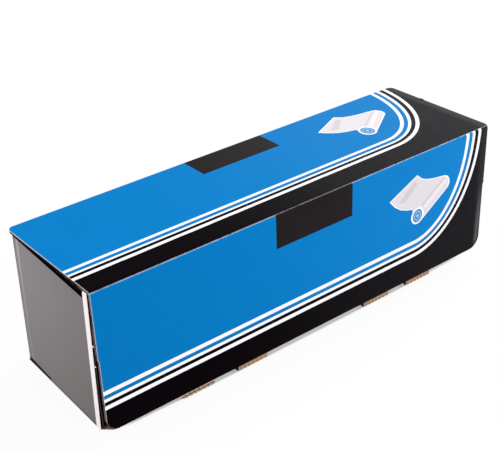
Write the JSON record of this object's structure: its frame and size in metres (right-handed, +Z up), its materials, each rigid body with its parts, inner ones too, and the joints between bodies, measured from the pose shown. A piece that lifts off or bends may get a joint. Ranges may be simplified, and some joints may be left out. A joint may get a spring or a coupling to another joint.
{
  "type": "boxed aluminium foil roll",
  "caption": "Long corrugated dispenser carton with a hinged lid and front flap, holding a wide aluminium foil roll on a paperboard core behind a serrated steel cutter.",
  "frame": {"origin": "middle of the bounding box at the floor, with the lid resting on the tray as pictured", "axes": "+X along the roll and the hinge, +Y towards the hinged rear wall, +Z up; the printed flap faces -Y"},
  "size_m": [0.3122, 0.0962, 0.1],
  "materials": {
    "tray_board": "dark satin print outside with a bare white front fold, kraft inside",
    "lid_board": "satin blue print with white and black stripes outside, kraft inside",
    "cutter_steel": "bright rolled strip",
    "foil": "bright wound foil",
    "core_board": "matt spiral-wound paperboard"
  },
  "bodies": {
    "carton": {"tray": "tray_board", "cutter_strip": "cutter_steel", "foil_roll": "foil", "core_tube": "core_board"},
    "lid": {"lid": "lid_board"}
  },
  "joints": [
    {"name": "lid_hinge", "type": "hinge", "parent": "carton", "child": "lid", "pos_m": [0, 0.04725, 0.0958], "axis": [-1, 0, 0], "range_deg": [0, 180]}
  ]
}
